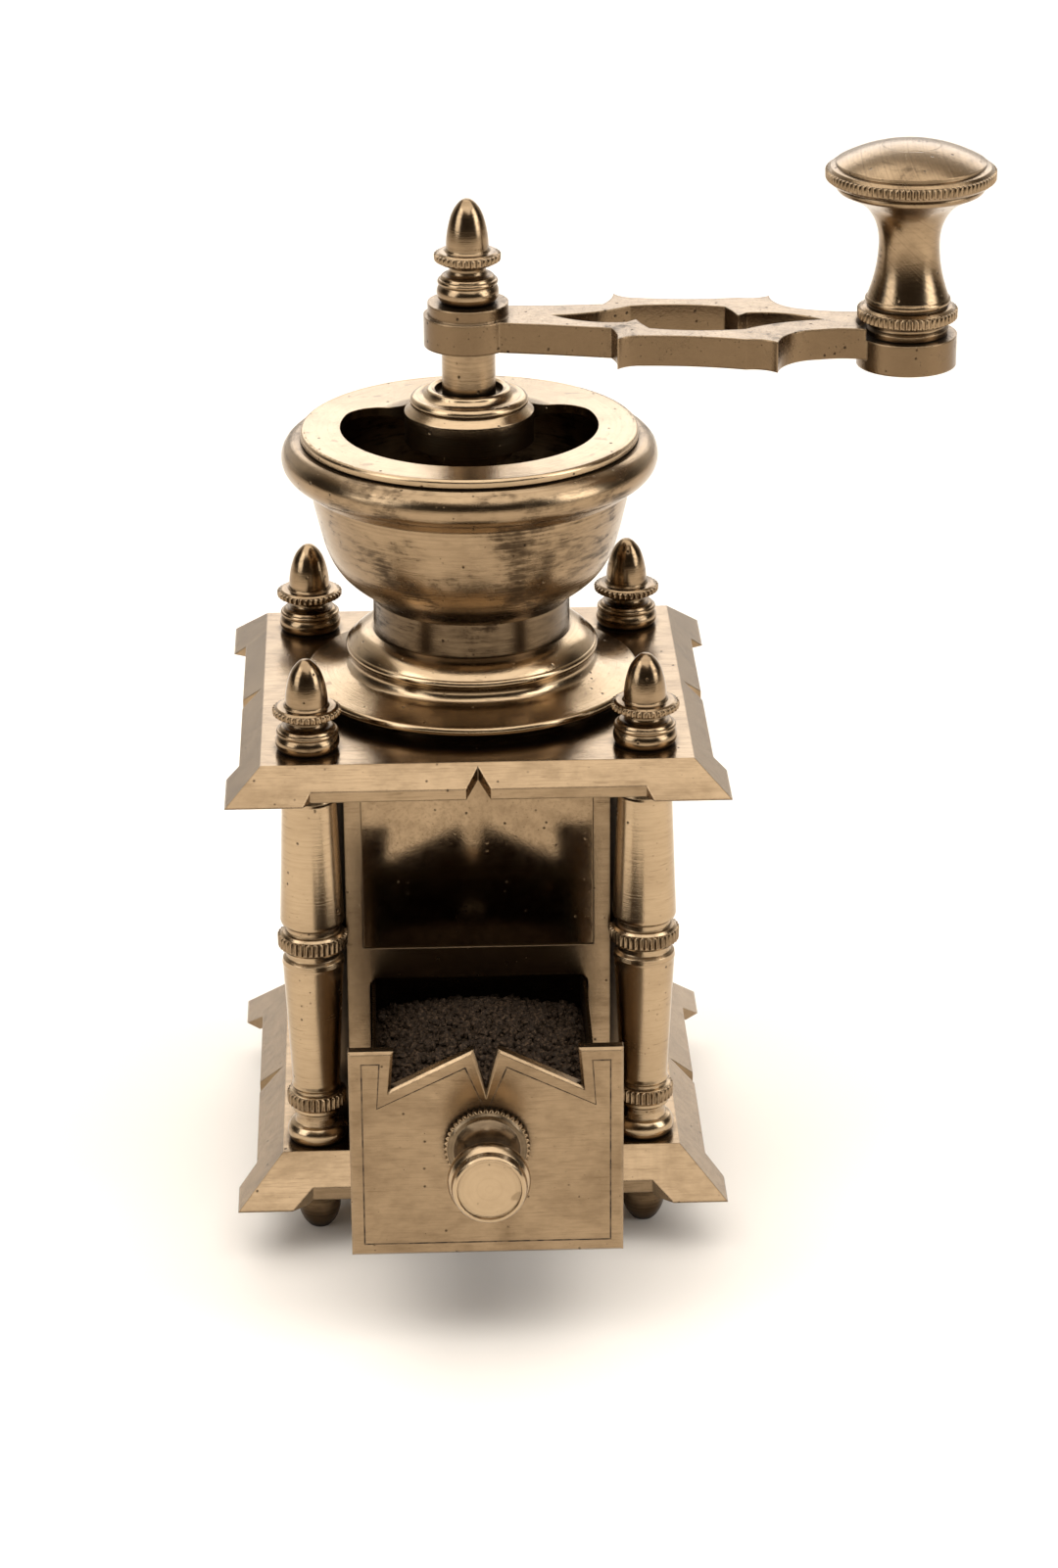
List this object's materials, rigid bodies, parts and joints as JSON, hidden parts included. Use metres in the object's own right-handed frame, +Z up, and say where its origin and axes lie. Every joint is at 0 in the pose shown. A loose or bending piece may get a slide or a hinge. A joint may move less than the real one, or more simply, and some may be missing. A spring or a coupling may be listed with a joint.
{
  "type": "box coffee mill",
  "caption": "Brass box coffee mill with corner columns, open hopper, burr set on a hand crank with a turning knob, and a pull-out drawer.",
  "frame": {"origin": "on the spindle axis, at the level of the table the feet stand on", "axes": "+Z up along the spindle, -Y out of the drawer front, +X to the right seen from the front"},
  "size_m": [0.1819, 0.1854, 0.2642],
  "materials": {
    "brass_plate": "polished cast plate, pale, fine scratches",
    "brass_turned": "turned and polished, fine turning lines, dark tarnish in recesses",
    "brass_sheet": "rolled sheet, mirror polish with cloudy tarnish",
    "brass_bowl": "spun bowl with tarnish patches and turning lines",
    "brass_crank": "cast and filed, brown patina on the sides",
    "tarnished_brass": "dark brown tarnish",
    "steel": "plain turned steel",
    "burr_iron": "rough cast, oiled",
    "coffee": "coarse dark grounds"
  },
  "bodies": {
    "mill": {"base_plate": "brass_plate", "top_plate": "brass_plate", "bun_feet": "tarnished_brass", "tie_rods": "steel", "column_front_left": "brass_turned", "column_front_right": "brass_turned", "column_rear_left": "brass_turned", "column_rear_right": "brass_turned", "finial_front_left": "brass_turned", "finial_front_right": "brass_turned", "finial_rear_left": "brass_turned", "finial_rear_right": "brass_turned", "front_frame": "brass_sheet", "front_panel": "brass_sheet", "rear_wall": "brass_sheet", "left_wall": "brass_sheet", "right_wall": "brass_sheet", "corner_strips": "brass_sheet", "left_runner": "brass_sheet", "right_runner": "brass_sheet", "hopper_foot": "brass_turned", "hopper_bowl": "brass_bowl", "hopper_lid": "brass_plate", "spindle_bush": "brass_turned", "burr_ring": "burr_iron", "clamp_screws": "steel", "bridge": "burr_iron", "bridge_screws": "steel", "lock_nut": "steel"},
    "grind_lift": {"thrust_cup": "steel"},
    "crank": {"spindle": "brass_turned", "burr_cone": "burr_iron", "cone_pin": "steel", "crank_arm": "brass_crank", "crank_nut": "brass_turned", "knob_pin": "brass_turned"},
    "knob": {"handle_knob": "brass_turned"},
    "adjuster": {"adjusting_screw": "steel"},
    "drawer": {"drawer_tray": "brass_sheet", "drawer_front": "brass_plate", "drawer_rivets": "brass_sheet", "drawer_knob": "brass_turned", "drawer_knob_screw": "steel", "coffee_grounds": "coffee"}
  },
  "joints": [
    {"name": "grind_adjust", "type": "slide", "parent": "mill", "child": "grind_lift", "axis": [0, 0, 1], "range_m": [-0.0006, 0.0006]},
    {"name": "adjuster_turn", "type": "hinge", "parent": "grind_lift", "child": "adjuster", "pos_m": [0, 0, 0.08], "axis": [0, 0, 1], "range_deg": [-174, 174]},
    {"name": "crank_spin", "type": "hinge", "parent": "grind_lift", "child": "crank", "pos_m": [0, 0, 0.221], "axis": [0, 0, 1], "continuous": true},
    {"name": "knob_spin", "type": "hinge", "parent": "crank", "child": "knob", "pos_m": [0.10313, -0.01175, 0.24], "axis": [0, 0, 1], "continuous": true},
    {"name": "drawer_slide", "type": "slide", "parent": "mill", "child": "drawer", "axis": [0, -1, 0], "range_m": [-0.062, 0.005]}
  ],
  "couplings": [
    {"joint": "adjuster_turn", "follows": "grind_adjust", "rad_per_m": 5026.5}
  ]
}
